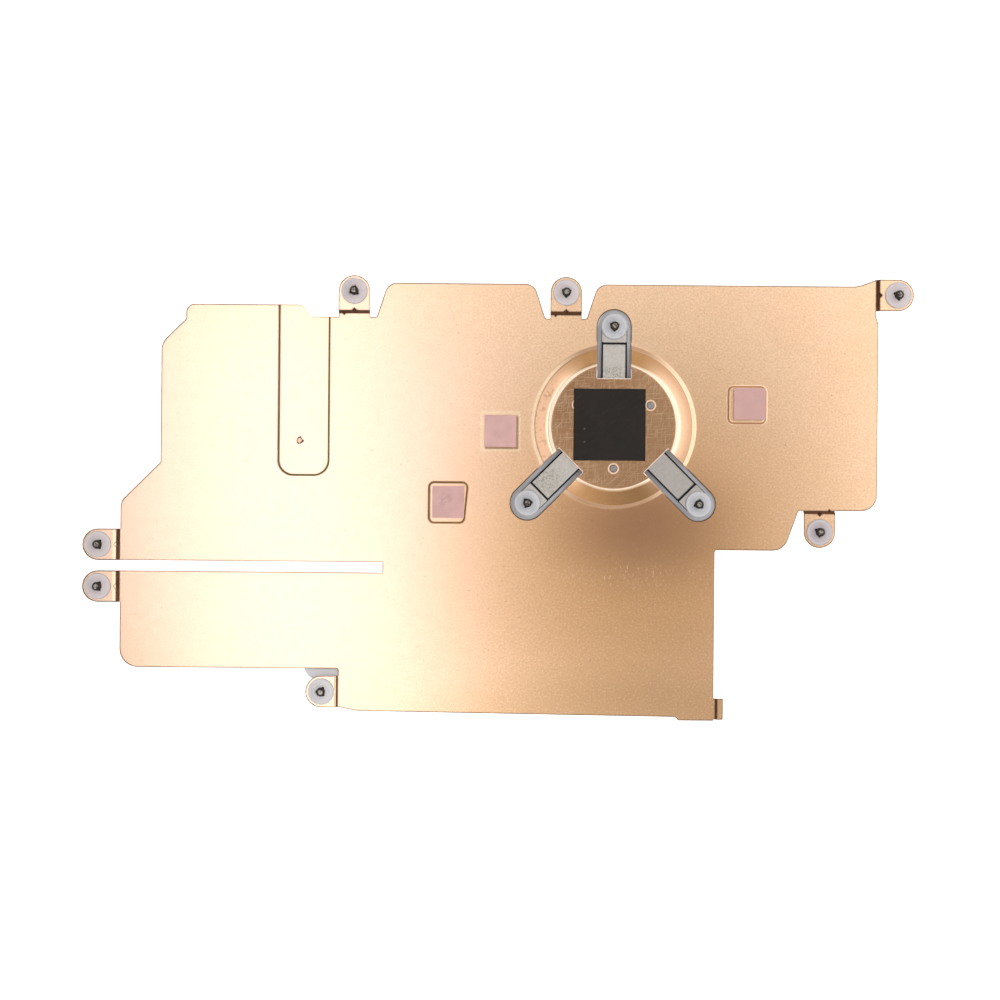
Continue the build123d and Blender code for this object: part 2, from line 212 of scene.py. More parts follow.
# Painted shade along the cut edges, a painted highlight along the edges of the right seat and the panel, and lighter
# painted shade along the left seat's edges
edge_shade_copper = (0.10, 0.055, 0.035, 1)
seat_edge_highlight_copper = (0.98, 0.76, 0.54, 1)
left_seat_edge_shade_copper = (0.52, 0.34, 0.16, 1)
# Painted highlight along the cut edges near the boss
rim_highlight_copper = (1.0, 0.86, 0.78, 1)
light_lip_copper = (0.90, 0.66, 0.48, 1)
dark_lip_copper = (0.74, 0.50, 0.34, 1)

# Colours of the steels
light_spring_steel = (0.525, 0.485, 0.445, 1)
deep_spring_steel = (0.475, 0.445, 0.41, 1)
smudged_steel = (0.38, 0.38, 0.34, 1)
dusty_steel = (0.22, 0.20, 0.15, 1)
# Painted shade on one arm, and painted shade lines at the spring's bends and sides
shaded_steel = (0.33, 0.30, 0.28, 1)
bend_shade_steel = (0.02, 0.02, 0.022, 1)
light_rivet_steel = (0.33, 0.305, 0.30, 1)
dark_rivet_steel = (0.21, 0.195, 0.19, 1)
light_screw_steel = (0.06, 0.05, 0.045, 1)
dark_screw_steel = (0.02, 0.016, 0.014, 1)
# Painted shade in the rivets' groove
groove_shade_steel = (0.03, 0.03, 0.03, 1)
# Painted highlight on the screw tips
tip_highlight_steel = (0.36, 0.33, 0.29, 1)

# Colours of the nylon, the compound, the silicone and the paper
# Painted light of the ground seen through the nylon: warmer and brighter over the copper, greyer and darker over the
# steel
nylon_lit_over_copper = (0.97, 0.85, 0.84, 1), (0.90, 0.79, 0.79, 1)
nylon_shaded_over_steel = (0.78, 0.78, 0.80, 1), (0.71, 0.70, 0.73, 1)
# Painted highlight on one washer and painted shade on another, a painted highlight on the rims and painted shade at the
# outer edges
highlighted_nylon = (1.0, 0.95, 0.95, 1)
shaded_nylon = (0.76, 0.67, 0.69, 1)
rim_highlight_nylon = (0.97, 0.93, 0.95, 1)
edge_shade_nylon = (0.42, 0.38, 0.40, 1)
dark_compound = (0.0125, 0.0090, 0.0070, 1)
light_compound = (0.017, 0.0115, 0.0085, 1)
grainy_compound = (0.040, 0.033, 0.028, 1)
scuffed_compound = (0.07, 0.06, 0.055, 1)
speck_compound = (0.085, 0.075, 0.07, 1)
light_pink = (0.64, 0.38, 0.35, 1)
deep_pink = (0.58, 0.34, 0.315, 1)
shaded_pink = (0.48, 0.28, 0.24, 1)
filler_pink = (0.74, 0.50, 0.47, 1)
rubbed_pink = (0.30, 0.21, 0.22, 1)
light_paper = (0.93, 0.93, 0.93, 1)
grey_paper = (0.91, 0.91, 0.91, 1)
shaded_paper = (0.50, 0.50, 0.54, 1)

tab_screws = [f"captive_screw_{number}" for number in range(1, 8)]
arm_screws = [f"captive_screw_{number}" for number in range(8, 11)]
washers = [f"retaining_washer_{number}" for number in range(1, 11)]
rivets = [f"rivet_{number}" for number in range(1, 4)]


def middle_at(node, height):
    """Centre of a node seen from above, at the given height."""
    low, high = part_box(node)
    return ((low.x + high.x) / 2, (low.y + high.y) / 2, height)


def add(tree, kind, sockets=None, **settings):
    """Add a node: sockets are values or links by input, settings are the node's own."""
    made = tree.nodes.new(kind)
    for name, value in settings.items():
        setattr(made, name, value)
    for name, value in (sockets or {}).items():
        if isinstance(value, bpy.types.NodeSocket):
            tree.links.new(value, made.inputs[name])
        else:
            made.inputs[name].default_value = value
    return made


def math_node(tree, operation, *values):
    """Result of a Math node on numbers or links."""
    return add(tree, "ShaderNodeMath", dict(enumerate(values)), operation=operation).outputs[0]


def plus(tree, value, more):
    """Sum of two numbers or links."""
    return math_node(tree, "ADD", value, more)


def minus(tree, value, less):
    """Difference of two numbers or links."""
    return math_node(tree, "SUBTRACT", value, less)


def times(tree, *factors):
    """Product of several masks."""
    product = factors[0]
    for factor in factors[1:]:
        product = math_node(tree, "MULTIPLY", product, factor)
    return product


def larger(tree, *masks):
    """Largest of several masks."""
    result = masks[0]
    for mask in masks[1:]:
        result = math_node(tree, "MAXIMUM", result, mask)
    return result


def flipped(tree, mask):
    """One where the mask is nought, and the other way round."""
    return minus(tree, 1.0, mask)


def length_of(tree, vector):
    """Length of a vector."""
    return add(tree, "ShaderNodeVectorMath", {0: vector}, operation="LENGTH").outputs["Value"]


def between(tree, value, low, high, to_low=0.0, to_high=1.0):
    """Value carried smoothly from low..high to to_low..to_high and held outside."""
    return add(
        tree,
        "ShaderNodeMapRange",
        {"Value": value, "From Min": low, "From Max": high, "To Min": to_low, "To Max": to_high},
        interpolation_type="SMOOTHSTEP",
    ).outputs[0]


def fading(tree, value, low, high):
    """One up to the low value, and smoothly down to nought at the high one."""
    return between(tree, value, low, high, 1.0, 0.0)


def band_of(tree, distance, inner, outer, soft):
    """One between two distances, with soft borders."""
    rise = between(tree, distance, inner - soft, inner + soft)
    return times(tree, rise, fading(tree, distance, outer - soft, outer + soft))


def tinted(tree, factor, ground, colour):
    """Ground colour mixed with another colour by the factor."""
    mix = add(tree, "ShaderNodeMix", data_type="RGBA")
    for socket, value in ((mix.inputs["Factor"], factor), (mix.inputs[6], ground), (mix.inputs[7], colour)):
        if isinstance(value, bpy.types.NodeSocket):
            tree.links.new(value, socket)
        else:
            socket.default_value = value
    return mix.outputs[2]


def new_finish(name):
    """Material with its tree, its shader node and the Object coordinates."""
    material = bpy.data.materials.new(name)
    material.use_nodes = True
    tree = material.node_tree
    shader = tree.nodes["Principled BSDF"]
    place = add(tree, "ShaderNodeTexCoord").outputs["Object"]
    return material, tree, shader, place


def finished(tree, shader, colour, roughness, normal):
    """Give the shader node its colour, its roughness and its normal."""
    tree.links.new(colour, shader.inputs["Base Color"])
    tree.links.new(roughness, shader.inputs["Roughness"])
    tree.links.new(normal, shader.inputs["Normal"])


def speckle(tree, place, size, detail=3.0, stretch=(1, 1, 1), turn=0.0):
    """Noise whose features have the given size, stretched and turned about Z."""
    sockets = {"Vector": place, "Rotation": (0, 0, turn), "Scale": stretch}
    mapping = add(tree, "ShaderNodeMapping", sockets, vector_type="TEXTURE")
    grain = add(tree, "ShaderNodeTexNoise", {"Vector": mapping.outputs[0], "Scale": 1 / size, "Detail": detail})
    return grain.outputs["Fac"]


def scratches(tree, place, turn, length, width, share):
    """Thin straight scratches along one direction."""
    lines = speckle(tree, place, width, 1.0, (length / width, 1, 1), turn)
    return between(tree, lines, share, share + 0.05)


def relief_of(tree, height, depth):
    """Normal with a fine surface relief."""
    return add(tree, "ShaderNodeBump", {"Height": height, "Distance": depth}).outputs[0]


def softened_edges(tree, radius, height, depth, sharp=0.94, flat=0.997):
    """Normal with rounded edges and a fine surface relief, and how near an edge the spot is."""
    rounded = add(tree, "ShaderNodeBevel", {"Radius": radius}, samples=8).outputs[0]
    facing = add(tree, "ShaderNodeNewGeometry").outputs["True Normal"]
    agreement = add(tree, "ShaderNodeVectorMath", {0: rounded, 1: facing}, operation="DOT_PRODUCT").outputs["Value"]
    near_edge = fading(tree, agreement, sharp, flat)
    relief = add(tree, "ShaderNodeBump", {"Height": height, "Distance": depth, "Normal": rounded})
    return relief.outputs[0], near_edge


def steepness(tree):
    """How far the surface faces straight up or down, from 0 on a wall to 1 on a flat."""
    facing = add(tree, "ShaderNodeNewGeometry").outputs["True Normal"]
    return math_node(tree, "ABSOLUTE", add(tree, "ShaderNodeSeparateXYZ", {0: facing}).outputs["Z"])


def distance_from(tree, place, x, y):
    """Distance in the sheet's plane from a spot."""
    mapping = add(tree, "ShaderNodeMapping", {"Vector": place, "Location": (-x, -y, 0), "Scale": (1, 1, 0)})
    return length_of(tree, mapping.outputs[0])


def square_distance_from(tree, place, x, y):
    """Half side of the square round a spot on which the place lies, with slightly rounded corners."""
    mapping = add(tree, "ShaderNodeMapping", {"Vector": place, "Location": (-x, -y, 0)})
    steps = add(tree, "ShaderNodeSeparateXYZ", {0: mapping.outputs[0]}).outputs
    along, across = (math_node(tree, "ABSOLUTE", steps[axis]) for axis in ("X", "Y"))
    return math_node(tree, "SMOOTH_MAX", along, across, 0.6 * MM)


def patch_of(tree, place, middle, reach, core):
    """Soft oval that is 1 up to the core's share of its reach and 0 beyond it; middle and reach in millimetres."""
    sockets = {
        "Vector": place,
        "Location": (-middle[0] / reach[0], -middle[1] / reach[1], 0),
        "Scale": (1 / (reach[0] * MM), 1 / (reach[1] * MM), 0),
    }
    return fading(tree, length_of(tree, add(tree, "ShaderNodeMapping", sockets).outputs[0]), core, 1.0)


def flat_sheet_colour(tree, place, cloud):
    """Copper of the flat sheet, with a painted highlight on its left, painted shade on its right and along its lower
    edge, and a darker field below the boss; with the masks of the highlight and of that field.
    """
    colour = tinted(tree, between(tree, cloud, 0.35, 0.65), light_copper, deep_copper)
    pale = patch_of(tree, place, *pale_highlight_left)
    colour = tinted(tree, pale, colour, pale_highlight_copper)
    colour = tinted(tree, patch_of(tree, place, *shaded_right), colour, shaded_right_copper)
    darker_patches = patch_of(tree, place, *dark_field_below_boss)
    colour = tinted(tree, darker_patches, colour, dark_field_copper)
    colour = tinted(tree, times(tree, patch_of(tree, place, *shaded_lower_edge), 0.5), colour, shaded_lower_copper)
    return colour, pale, darker_patches


def with_boss(tree, place, colour, from_boss, disc):
    """Colour with the boss in painted light and shade: its darker disc, a highlight on its shoulder, shading on its
    sloping ring and foot, and dark hairlines at the bends between them.
    """
    # Painted shade: the disc darker than the flat sheet, darker still on part of it
    disc_shade_colour = tinted(tree, patch_of(tree, place, *shaded_disc), disc_shade_copper, shaded_disc_copper)
    colour = tinted(tree, disc, colour, disc_shade_colour)
    side_reach = add(tree, "ShaderNodeMapping", {"Vector": place, "Location": (-boss_x, 0, 0), "Scale": (1, 0, 0)})
    sideways = length_of(tree, side_reach.outputs[0])
    fore_and_aft = fading(tree, math_node(tree, "DIVIDE", sideways, from_boss), 0.35, 0.85)
    drawn_in = plus(tree, from_boss, times(tree, fore_and_aft, boss_draw))

    ring = times(
        tree,
        between(tree, drawn_in, boss_ring_inner - 0.1 * MM, boss_ring_inner + 0.1 * MM),
        fading(tree, from_boss, boss_ring_outer - 0.1 * MM, boss_ring_outer + 0.1 * MM),
    )
    across = between(tree, from_boss, boss_ring_inner, boss_ring_outer)
    # Painted light and shade across the sloping ring: lighter inside, darker outside, on its left and at front and back
    colour = tinted(tree, ring, colour, tinted(tree, across, inner_ring_lit_copper, outer_ring_shaded_copper))
    ring_left = patch_of(tree, place, *left_of_ring)
    colour = tinted(tree, times(tree, ring, ring_left), colour, left_ring_shade_copper)
    specks = between(tree, speckle(tree, place, 0.7 * MM, 4), 0.56, 0.64, 0.0, 0.45)
    colour = tinted(tree, times(tree, ring, ring_left, specks), colour, ring_speck_copper)
    colour = tinted(tree, times(tree, ring, fore_and_aft), colour, front_ring_shade_copper)

    # Painted highlight along the shoulder of the boss
    shoulder = times(
        tree,
        between(tree, from_boss, boss_flat_radius + 0.05 * MM, boss_flat_radius + 0.2 * MM),
        fading(tree, drawn_in, boss_ring_inner, boss_ring_inner + 0.8 * MM),
    )
    colour = tinted(tree, shoulder, colour, shoulder_highlight_copper)
    # Painted highlight on the foot at the sides, painted shade at front and back
    foot = band_of(tree, from_boss, boss_ring_outer + 0.1 * MM, boss_foot_radius - 0.1 * MM, 0.15 * MM)
    colour = tinted(tree, foot, colour, tinted(tree, fore_and_aft, side_foot_highlight_copper, front_foot_shade_copper))
    # Dark painted shade lines at the boss's bends
    hairlines = larger(
        tree,
        band_of(tree, from_boss, boss_flat_radius - 0.08 * MM, boss_flat_radius + 0.08 * MM, 0.06 * MM),
        band_of(tree, from_boss, boss_ring_outer - 0.05 * MM, boss_ring_outer + 0.1 * MM, 0.06 * MM),
    )
    return tinted(tree, times(tree, hairlines, 0.75), colour, hairline_shade_copper)


def with_painted_light_round_plain_pad(tree, place, colour):
    """Colour with a painted highlight frame and a painted shadow round the pad on the flat sheet."""
    from_pad = square_distance_from(tree, place, plain_pad_x, plain_pad_y)
    frame_highlight = band_of(tree, from_pad, 4.0 * MM, 4.6 * MM, 0.3 * MM)
    # Painted highlight frame round the pad
    colour = tinted(tree, times(tree, frame_highlight, 0.6), colour, glinting_copper)
    # Painted shadow on the right and lower sides of the pad
    from_shade = square_distance_from(tree, place, plain_pad_x + pad_shade_shift, plain_pad_y - pad_shade_shift)
    return tinted(tree, between(tree, from_shade, 3.7 * MM, 4.0 * MM, 0.75, 0.0), colour, pad_shade_copper)


def with_grain(tree, place, colour, grain, mottle, pale, darker_patches, in_boss):
    """Colour with the rolled grain, bright specks painted as small glints, and pits, fainter in the painted pale
    highlight and in the darker field below the boss.
    """
    colour = tinted(tree, between(tree, mottle, 0.35, 0.7, 0.0, 0.07), colour, mottled_copper)
    visible = times(tree, between(tree, pale, 0.1, 1.0, 1.0, 0.3), between(tree, in_boss, 0.0, 1.0, 1.0, 0.6))
    dark_grain = times(tree, between(tree, grain, 0.35, 0.62, 0.26, 0.0), visible)
    colour = tinted(tree, dark_grain, colour, grain_copper)
    # Bright specks painted as small glints
    specks = between(tree, speckle(tree, place, 0.42 * MM, 1), 0.60, 0.70, 0.0, 0.25)
    off_dark_field = between(tree, darker_patches, 0.1, 0.8, 1.0, 0.3)
    specks = times(tree, specks, visible, flipped(tree, in_boss), off_dark_field)
    colour = tinted(tree, specks, colour, glinting_copper)
    pits = between(tree, speckle(tree, place, 0.8 * MM, 1), 0.20, 0.26, 0.30, 0.0)
    return tinted(tree, pits, colour, pitted_copper)


def with_pressed_mark(tree, place, colour):
    """Colour with the uneven pressed mark on the panel, painted shade in its floor and along its rim, and the mask of
    the mark's floor.
    """
    wobble = times(tree, speckle(tree, place, 0.9 * MM, 2), mark_unevenness)
    from_mark = plus(tree, distance_from(tree, place, mark_x, mark_y), wobble)
    rim = band_of(tree, from_mark, mark_radius + 0.05 * MM, mark_radius + 0.42 * MM, 0.06 * MM)
    mark_floor = fading(tree, from_mark, mark_radius + 0.15 * MM, mark_radius + 0.35 * MM)
    # Painted shade in the floor of the mark
    colour = tinted(tree, times(tree, mark_floor, 0.8), colour, mark_floor_shade_copper)
    return tinted(tree, rim, colour, mark_rim_shade_copper), mark_floor


def with_bends_and_outlines(tree, place, colour, upward, near_edge, mottle, pale, in_boss):
    """Colour with dark painted shade in the bends, painted highlight strips beside the left and lower tabs, and painted
    light and shade along the cut edges.
    """
    steps = add(tree, "ShaderNodeSeparateXYZ", {0: place}).outputs
    left_seat = patch_of(tree, place, *left_seat_region)
    right_seat = patch_of(tree, place, *right_seat_region)
    panel = patch_of(tree, place, *panel_region)
    pressed = larger(tree, left_seat, panel)

    # Painted shade on the steep walls of the bends
    bend_shade = times(
        tree,
        between(tree, upward, 0.15, 0.35),
        fading(tree, upward, 0.88, 0.97),
        flipped(tree, in_boss),
        between(tree, mottle, 0.2, 0.8, 1.0, 0.92),
    )
    bend_shade_colour = tinted(tree, pressed, bend_shade_copper, left_seat_bend_shade_copper)
    bend_shade_colour = tinted(tree, panel, bend_shade_colour, panel_bend_shade_copper)
    bend_shade_colour = tinted(tree, right_seat, bend_shade_colour, right_seat_bend_shade_copper)
    colour = tinted(tree, bend_shade, colour, bend_shade_colour)

    # Painted highlight strips beside the bends of the left tabs and the foot tab
    left_highlight_strip = band_of(tree, steps["X"], *left_strip_x, strip_softness)
    foot_highlight_strip = times(
        tree,
        band_of(tree, steps["X"], *foot_strip_x, strip_softness),
        band_of(tree, steps["Y"], *foot_strip_y, strip_softness),
    )
    colour = tinted(tree, times(tree, larger(tree, left_highlight_strip, foot_highlight_strip), 0.85), colour, strip_highlight_copper)

    # Painted shade and painted highlight along the top edges
    top_edge = times(tree, near_edge, between(tree, upward, 0.9, 0.98))
    at_left_tabs = fading(tree, steps["X"], left_tabs_x - 0.3 * MM, left_tabs_x)
    strength = larger(tree, between(tree, pale, 0.3, 1.0, 0.85, 0.5), at_left_tabs)
    edge_light_and_shade = times(tree, top_edge, flipped(tree, in_boss), strength)
    edge_light_and_shade_colour = tinted(tree, larger(tree, pressed, right_seat), edge_shade_copper, seat_edge_highlight_copper)
    edge_light_and_shade_colour = tinted(tree, left_seat, edge_light_and_shade_colour, left_seat_edge_shade_copper)
    return tinted(tree, edge_light_and_shade, colour, edge_light_and_shade_colour), top_edge


def copper_sheet_finish():
    """Satin copper with rolling grain, a darker field beside the boss, painted highlights and shades, dark painted
    shade in the bends, and fine scratches.
    """
    material, tree, shader, place = new_finish("satin copper sheet")
    cloud = speckle(tree, place, 14 * MM, 5)
    grain = speckle(tree, place, 0.42 * MM, 3)
    mottle = speckle(tree, place, 2.4 * MM, 3)
    upward = steepness(tree)
    from_boss = distance_from(tree, place, boss_x, boss_y)
    in_boss = fading(tree, from_boss, boss_foot_radius + 0.2 * MM, boss_foot_radius + 1.2 * MM)
    disc = fading(tree, from_boss, boss_flat_radius - 0.2 * MM, boss_flat_radius + 0.05 * MM)

    colour, pale, darker_patches = flat_sheet_colour(tree, place, cloud)
    colour = with_boss(tree, place, colour, from_boss, disc)
    colour = with_painted_light_round_plain_pad(tree, place, colour)
    colour = with_grain(tree, place, colour, grain, mottle, pale, darker_patches, in_boss)

    along_boss = scratches(tree, place, 0.06, 4 * MM, 0.15 * MM, 0.60)
    across_boss = scratches(tree, place, 1.50, 3 * MM, 0.14 * MM, 0.60)
    aslant = scratches(tree, place, 0.75, 5 * MM, 0.15 * MM, 0.63)
    boss_marks = times(tree, larger(tree, along_boss, across_boss, aslant), disc, 0.32)
    upright = scratches(tree, place, 1.57, 0.9 * MM, 0.28 * MM, 0.66)
    below_marks = times(tree, upright, patch_of(tree, place, *below_boss), 0.60)
    colour = tinted(tree, larger(tree, boss_marks, below_marks), colour, scratched_copper)
    colour, mark_floor = with_pressed_mark(tree, place, colour)

    edge_radius = between(tree, in_boss, 0.0, 1.0, 0.45 * MM, 0.30 * MM)
    relief = minus(tree, times(tree, grain, 0.010), mark_floor)
    normal, near_edge = softened_edges(tree, edge_radius, relief, 0.012 * MM, 0.988, 0.9996)
    colour, top_edge = with_bends_and_outlines(tree, place, colour, upward, near_edge, mottle, pale, in_boss)
    # Painted highlight along the top edges of the cut-outs in the boss's disc, kept off the rivets
    rim_highlights = times(tree, top_edge, fading(tree, from_boss, boss_flat_radius - 0.7 * MM, boss_flat_radius - 0.2 * MM), 0.9)
    for rivet in rivets:
        x, y = middle_at(rivet, 0)[:2]
        away = between(tree, distance_from(tree, place, x, y), rivet_head_radius, rivet_head_radius + 0.2 * MM)
        rim_highlights = times(tree, rim_highlights, away)
    colour = tinted(tree, rim_highlights, colour, rim_highlight_copper)

    roughness = plus(tree, between(tree, cloud, 0.3, 0.7, 0.275, 0.279), times(tree, below_marks, 0.08))
    finished(tree, shader, colour, roughness, normal)
    shader.inputs["Metallic"].default_value = 1.0
    return material


def arm_side_shades(tree, place):
    """Painted dark shade lines along both sides of each arm, between its step and its root."""
    lines = 0.0
    for screw, direction in zip(arm_screws, arm_directions):
        sockets = {"Vector": place, "Location": middle_at(screw, 0), "Rotation": (0, 0, math.radians(direction))}
        mapping = add(tree, "ShaderNodeMapping", sockets, vector_type="TEXTURE")
        steps = add(tree, "ShaderNodeSeparateXYZ", {0: mapping.outputs[0]}).outputs
        off_axis = math_node(tree, "ABSOLUTE", steps["Y"])
        side = band_of(tree, off_axis, arm_half_width - 0.38 * MM, arm_half_width + 0.3 * MM, 0.05 * MM)
        stretch = band_of(tree, steps["X"], -arm_root_back, -arm_step_back, 0.05 * MM)
        lines = larger(tree, lines, times(tree, side, stretch))
    return lines


def spring_steel_finish():
    """Dull bright steel with rolling lines, darker smudges and dust, a painted shade over one arm, and dark painted
    shade lines at its bends and sides.
    """
    material, tree, shader, place = new_finish("dull spring steel")
    grain = speckle(tree, place, 0.35 * MM, 4)
    smudge = speckle(tree, place, 0.7 * MM, 5)
    marked = larger(tree, patch_of(tree, place, *handled_arm), patch_of(tree, place, *top_arm_root))
    dust = times(tree, between(tree, speckle(tree, place, 0.28 * MM, 6), 0.46, 0.66), marked)
    colour = tinted(tree, between(tree, grain, 0.35, 0.65), light_spring_steel, deep_spring_steel)
    colour = tinted(tree, between(tree, smudge, 0.45, 0.7, 0.0, 0.25), colour, smudged_steel)
    colour = tinted(tree, times(tree, dust, 0.85), colour, dusty_steel)
    # Painted shade on the right arm
    colour = tinted(tree, times(tree, patch_of(tree, place, *shaded_arm), 0.55), colour, shaded_steel)
    normal, near_edge = softened_edges(tree, 0.40 * MM, grain, 0.006 * MM)
    # Painted shade lines along the edges, on the steep steps and along the arms' sides
    step = fading(tree, steepness(tree), 0.90, 0.98)
    shade_lines = larger(tree, near_edge, step, arm_side_shades(tree, place))
    colour = tinted(tree, shade_lines, colour, bend_shade_steel)
    finished(tree, shader, colour, between(tree, smudge, 0.3, 0.7, 0.40, 0.54), normal)
    shader.inputs["Metallic"].default_value = 1.0
    return material


def turned_metal_finish(name, light, dark, roughness, tip_height=0.0, groove_radius=0.0):
    """Turned metal with small stains, a patchy painted highlight above a tip height and painted shade in the groove
    beyond a groove radius.
    """
    material, tree, shader, place = new_finish(name)
    grain = speckle(tree, place, 0.18 * MM, 4)
    darker_patches = speckle(tree, place, 0.9 * MM, 3)
    colour = tinted(tree, between(tree, grain, 0.35, 0.65), light, dark)
    colour = tinted(tree, between(tree, darker_patches, 0.55, 0.75, 0.0, 0.5), colour, dark)
    # Painted shade in the groove round the rivet's edge
    if groove_radius:
        reach = add(tree, "ShaderNodeAttribute", attribute_name="reach").outputs["Fac"]
        colour = tinted(tree, between(tree, reach, groove_radius - 0.12 * MM, groove_radius), colour, groove_shade_steel)
    # Patchy painted highlight on the flat of the tip
    if tip_height:
        above = add(tree, "ShaderNodeSeparateXYZ", {0: place}).outputs["Z"]
        tip_highlight = times(
            tree,
            between(tree, above, tip_height, tip_height + 0.06 * MM),
            between(tree, speckle(tree, place, 0.35 * MM, 2), 0.38, 0.58),
        )
        colour = tinted(tree, tip_highlight, colour, tip_highlight_steel)
    roughness_of_stain = between(tree, darker_patches, 0.3, 0.7, roughness, roughness + 0.12)
    finished(tree, shader, colour, roughness_of_stain, relief_of(tree, grain, 0.008 * MM))
    shader.inputs["Metallic"].default_value = 1.0
    return material


def clear_nylon_finish():
    """Milky translucent nylon, painted warmer and brighter over the copper than over the spring's arms, with a painted
    highlight on one washer, painted shade on another, a painted highlight on the rim and painted shade at the outer
    edge.
    """
    material, tree, shader, place = new_finish("milky clear nylon")
    cloud = speckle(tree, place, 1.3 * MM, 3)
    grain = speckle(tree, place, 0.12 * MM, 2)
    reach = add(tree, "ShaderNodeAttribute", attribute_name="reach").outputs["Fac"]
    cloudy = between(tree, cloud, 0.3, 0.7)
    from_boss = distance_from(tree, place, boss_x, boss_y)
    on_arm = fading(tree, from_boss, arm_screw_circle, arm_screw_circle + 0.3 * MM)
    # Painted light of the ground below: warmer and brighter over the copper than over the arms
    lit_over_copper = tinted(tree, cloudy, *nylon_lit_over_copper)
    colour = tinted(tree, on_arm, lit_over_copper, tinted(tree, cloudy, *nylon_shaded_over_steel))
    # Painted highlight on one washer and painted shade on another
    colour = tinted(tree, patch_of(tree, place, *highlighted_washer), colour, highlighted_nylon)
    colour = tinted(tree, patch_of(tree, place, *shaded_washer), colour, shaded_nylon)
    # Painted highlight on the rim and painted shade at the outer edge
    rim = times(tree, band_of(tree, reach, 2.45 * MM, 2.75 * MM, 0.10 * MM), 0.5)
    colour = tinted(tree, rim, colour, rim_highlight_nylon)
    colour = tinted(tree, between(tree, reach, 2.80 * MM, 2.95 * MM, 0.0, 0.7), colour, edge_shade_nylon)
    finished(tree, shader, colour, between(tree, cloud, 0.3, 0.7, 0.28, 0.42), relief_of(tree, grain, 0.004 * MM))
    shader.inputs["Transmission Weight"].default_value = 0.35
    shader.inputs["IOR"].default_value = 1.5
    return material


def contact_patch_finish():
    """Black-brown contact compound with faint scuffs and two small specks."""
    material, tree, shader, place = new_finish("black contact compound")
    cloud = speckle(tree, place, 4 * MM, 4)
    grain = speckle(tree, place, 0.25 * MM, 3)
    scuffs = scratches(tree, place, 0.7, 3 * MM, 0.12 * MM, 0.66)
    colour = tinted(tree, between(tree, cloud, 0.3, 0.7), dark_compound, light_compound)
    colour = tinted(tree, between(tree, grain, 0.55, 0.75, 0.0, 0.35), colour, grainy_compound)
    colour = tinted(tree, times(tree, scuffs, 0.3), colour, scuffed_compound)
    speck_x = 19.8 * MM
    for speck_y in (16.0 * MM, 13.0 * MM):
        speck = fading(tree, distance_from(tree, place, speck_x, speck_y), 0.10 * MM, 0.28 * MM)
        colour = tinted(tree, speck, colour, speck_compound)
    finished(tree, shader, colour, between(tree, grain, 0.3, 0.7, 0.62, 0.78), relief_of(tree, grain, 0.010 * MM))
    shader.inputs["Specular IOR Level"].default_value = 0.25
    return material


def pink_pad_finish():
    """Matte pink silicone with fine filler grain and a rubbed spot."""
    material, tree, shader, place = new_finish("pink silicone")
    cloud = speckle(tree, place, 3 * MM, 3)
    grain = speckle(tree, place, 0.2 * MM, 3)
    colour = tinted(tree, between(tree, cloud, 0.3, 0.7), light_pink, deep_pink)
    colour = tinted(tree, times(tree, patch_of(tree, place, *shaded_pad), 0.4), colour, shaded_pink)
    colour = tinted(tree, between(tree, grain, 0.5, 0.75, 0.0, 0.35), colour, filler_pink)
    rubbing = between(tree, speckle(tree, place, 1.1 * MM, 4, (2, 1, 1), 0.9), 0.45, 0.65, 0.0, 0.55)
    colour = tinted(tree, times(tree, patch_of(tree, place, *rubbed_spot), rubbing), colour, rubbed_pink)
    finished(tree, shader, colour, between(tree, grain, 0.3, 0.7, 0.55, 0.72), relief_of(tree, grain, 0.015 * MM))
    shader.inputs["Subsurface Weight"].default_value = 0.15
    shader.inputs["Subsurface Scale"].default_value = 0.4 * MM
    return material


def paper_finish():
    """Pale glowing paper, with the shades that lie in the notch of the foot tab and under the spring's arms."""
    material, tree, shader, place = new_finish("pale studio paper")
    shade = times(tree, patch_of(tree, place, *notch_shade), 0.92)
    for arm_shade in arm_shades:
        shade = larger(tree, shade, patch_of(tree, place, *arm_shade))
    paper = tinted(tree, speckle(tree, place, 0.4, 2), light_paper, grey_paper)
    tree.links.new(tinted(tree, times(tree, shade, 0.8), paper, shaded_paper), shader.inputs["Base Color"])
    shader.inputs["Roughness"].default_value = 0.9
    shader.inputs["Specular IOR Level"].default_value = 0.1
    shader.inputs["Emission Color"].default_value = (1.0, 1.0, 1.0, 1)
    tree.links.new(times(tree, flipped(tree, shade), 0.6), shader.inputs["Emission Strength"])
    return material


def new_tree(name, sizes):
    """Geometry Nodes tree with its named sizes, a seed and a material; returns it with its inputs."""
    tree = bpy.data.node_groups.new(name, "GeometryNodeTree")
    tree.interface.new_socket(name="Geometry", in_out="INPUT", socket_type="NodeSocketGeometry")
    for size in sizes:
        tree.interface.new_socket(name=size, in_out="INPUT", socket_type="NodeSocketFloat")
    tree.interface.new_socket(name="Seed", in_out="INPUT", socket_type="NodeSocketInt")
    tree.interface.new_socket(name="Material", in_out="INPUT", socket_type="NodeSocketMaterial")
    tree.interface.new_socket(name="Geometry", in_out="OUTPUT", socket_type="NodeSocketGeometry")
    return tree, tree.nodes.new("NodeGroupInput").outputs


def lifted(tree, geometry, height):
    """Geometry moved up by the height."""
    offset = add(tree, "ShaderNodeCombineXYZ", {"Z": height}).outputs[0]
    return add(tree, "GeometryNodeTransform", {"Geometry": geometry, "Translation": offset}).outputs[0]


def flat_position(tree):
    """Position of each point without its height."""
    position = add(tree, "GeometryNodeInputPosition").outputs[0]
    return add(tree, "ShaderNodeVectorMath", {0: position, 1: (1, 1, 0)}, operation="MULTIPLY").outputs[0]


